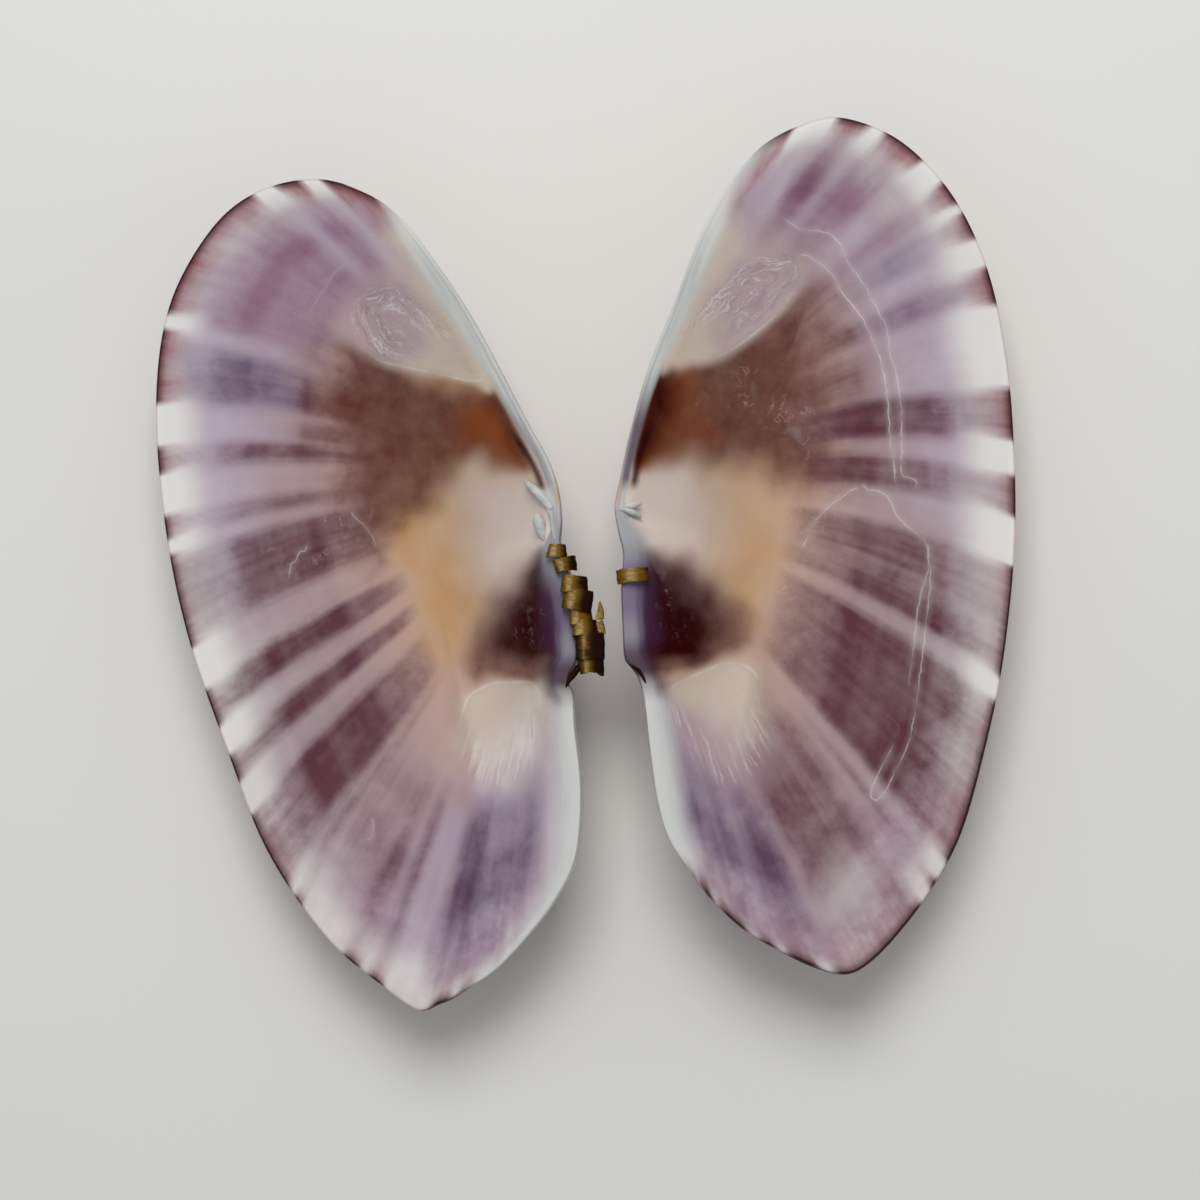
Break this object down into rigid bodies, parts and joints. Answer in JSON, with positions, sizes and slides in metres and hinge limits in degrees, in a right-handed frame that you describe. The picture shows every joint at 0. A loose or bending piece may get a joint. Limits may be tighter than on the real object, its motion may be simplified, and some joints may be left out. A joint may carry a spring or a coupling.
{
  "type": "sunset clam shell",
  "caption": "Opened sunset clam shell lying hollow side up, its valves parted at the hinge, rayed purple and cream inside, with curled scraps of dried ligament.",
  "frame": {"origin": "on the surface that the shell lies on, under the middle of the whole object's bounding box", "axes": "+Z up, out of the hollows; +Y towards the shell's front end, the end with the shorter way from the beaks; -X towards the valve that lies on the left when looked down on with +Y up"},
  "size_m": [0.0508, 0.052, 0.0089],
  "materials": {
    "shell": "smooth, satin porcelain gloss, rayed purple, maroon, brown and cream",
    "ligament": "dried, brittle, satin, olive brown"
  },
  "bodies": {
    "root": {"left_valve": "shell", "right_valve": "shell", "ligament_chip_upper": "ligament", "ligament_chip_lower": "ligament", "ligament_ring_1": "ligament", "ligament_ring_2": "ligament", "ligament_ring_3": "ligament", "ligament_ring_4": "ligament", "ligament_ring_5": "ligament", "ligament_ring_6": "ligament", "ligament_flake_upper": "ligament", "ligament_flake_lower": "ligament", "ligament_end_left": "ligament", "ligament_chip_right": "ligament", "ligament_end_right": "ligament"}
  },
  "joints": []
}
